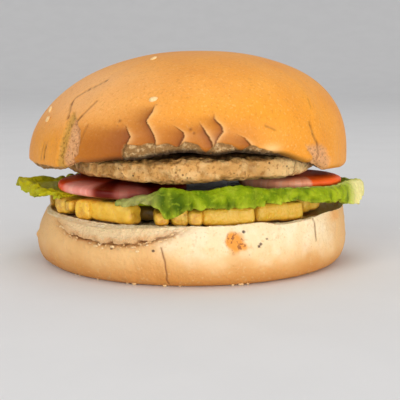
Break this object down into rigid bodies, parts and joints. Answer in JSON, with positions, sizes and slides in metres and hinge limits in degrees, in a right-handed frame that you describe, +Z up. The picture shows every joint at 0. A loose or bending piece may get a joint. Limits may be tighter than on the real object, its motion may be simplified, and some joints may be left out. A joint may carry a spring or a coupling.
{
  "type": "chicken burger",
  "caption": "Grilled chicken burger in a round bun with chips, lettuce leaves and tomato slices, built as stacked layers.",
  "frame": {"origin": "on the ground, under the middle of the burger", "axes": "+Z up, +X to the right as seen from the front, the front faces -Y"},
  "size_m": [0.1324, 0.1198, 0.0776],
  "materials": {
    "bun_heel": "soft baked crust, pale and floury with golden patches",
    "bun_crown": "golden baked crust with a low egg-wash sheen, peeling at the front rim",
    "fried_potato": "fried potato, slightly oily, browned at some edges",
    "lettuce": "fresh leaf, veined, satin, paler at the frilled edge",
    "tomato": "wet tomato, red skin and pink cut flesh",
    "grilled_chicken": "grilled minced chicken, lumpy, speckled with pepper and browning"
  },
  "bodies": {
    "root": {"bun_bottom": "bun_heel", "chips": "fried_potato", "lettuce_front": "lettuce", "lettuce_side": "lettuce", "tomato_left": "tomato", "tomato_right": "tomato", "tomato_back": "tomato", "patty": "grilled_chicken", "bun_top": "bun_crown"}
  },
  "joints": []
}
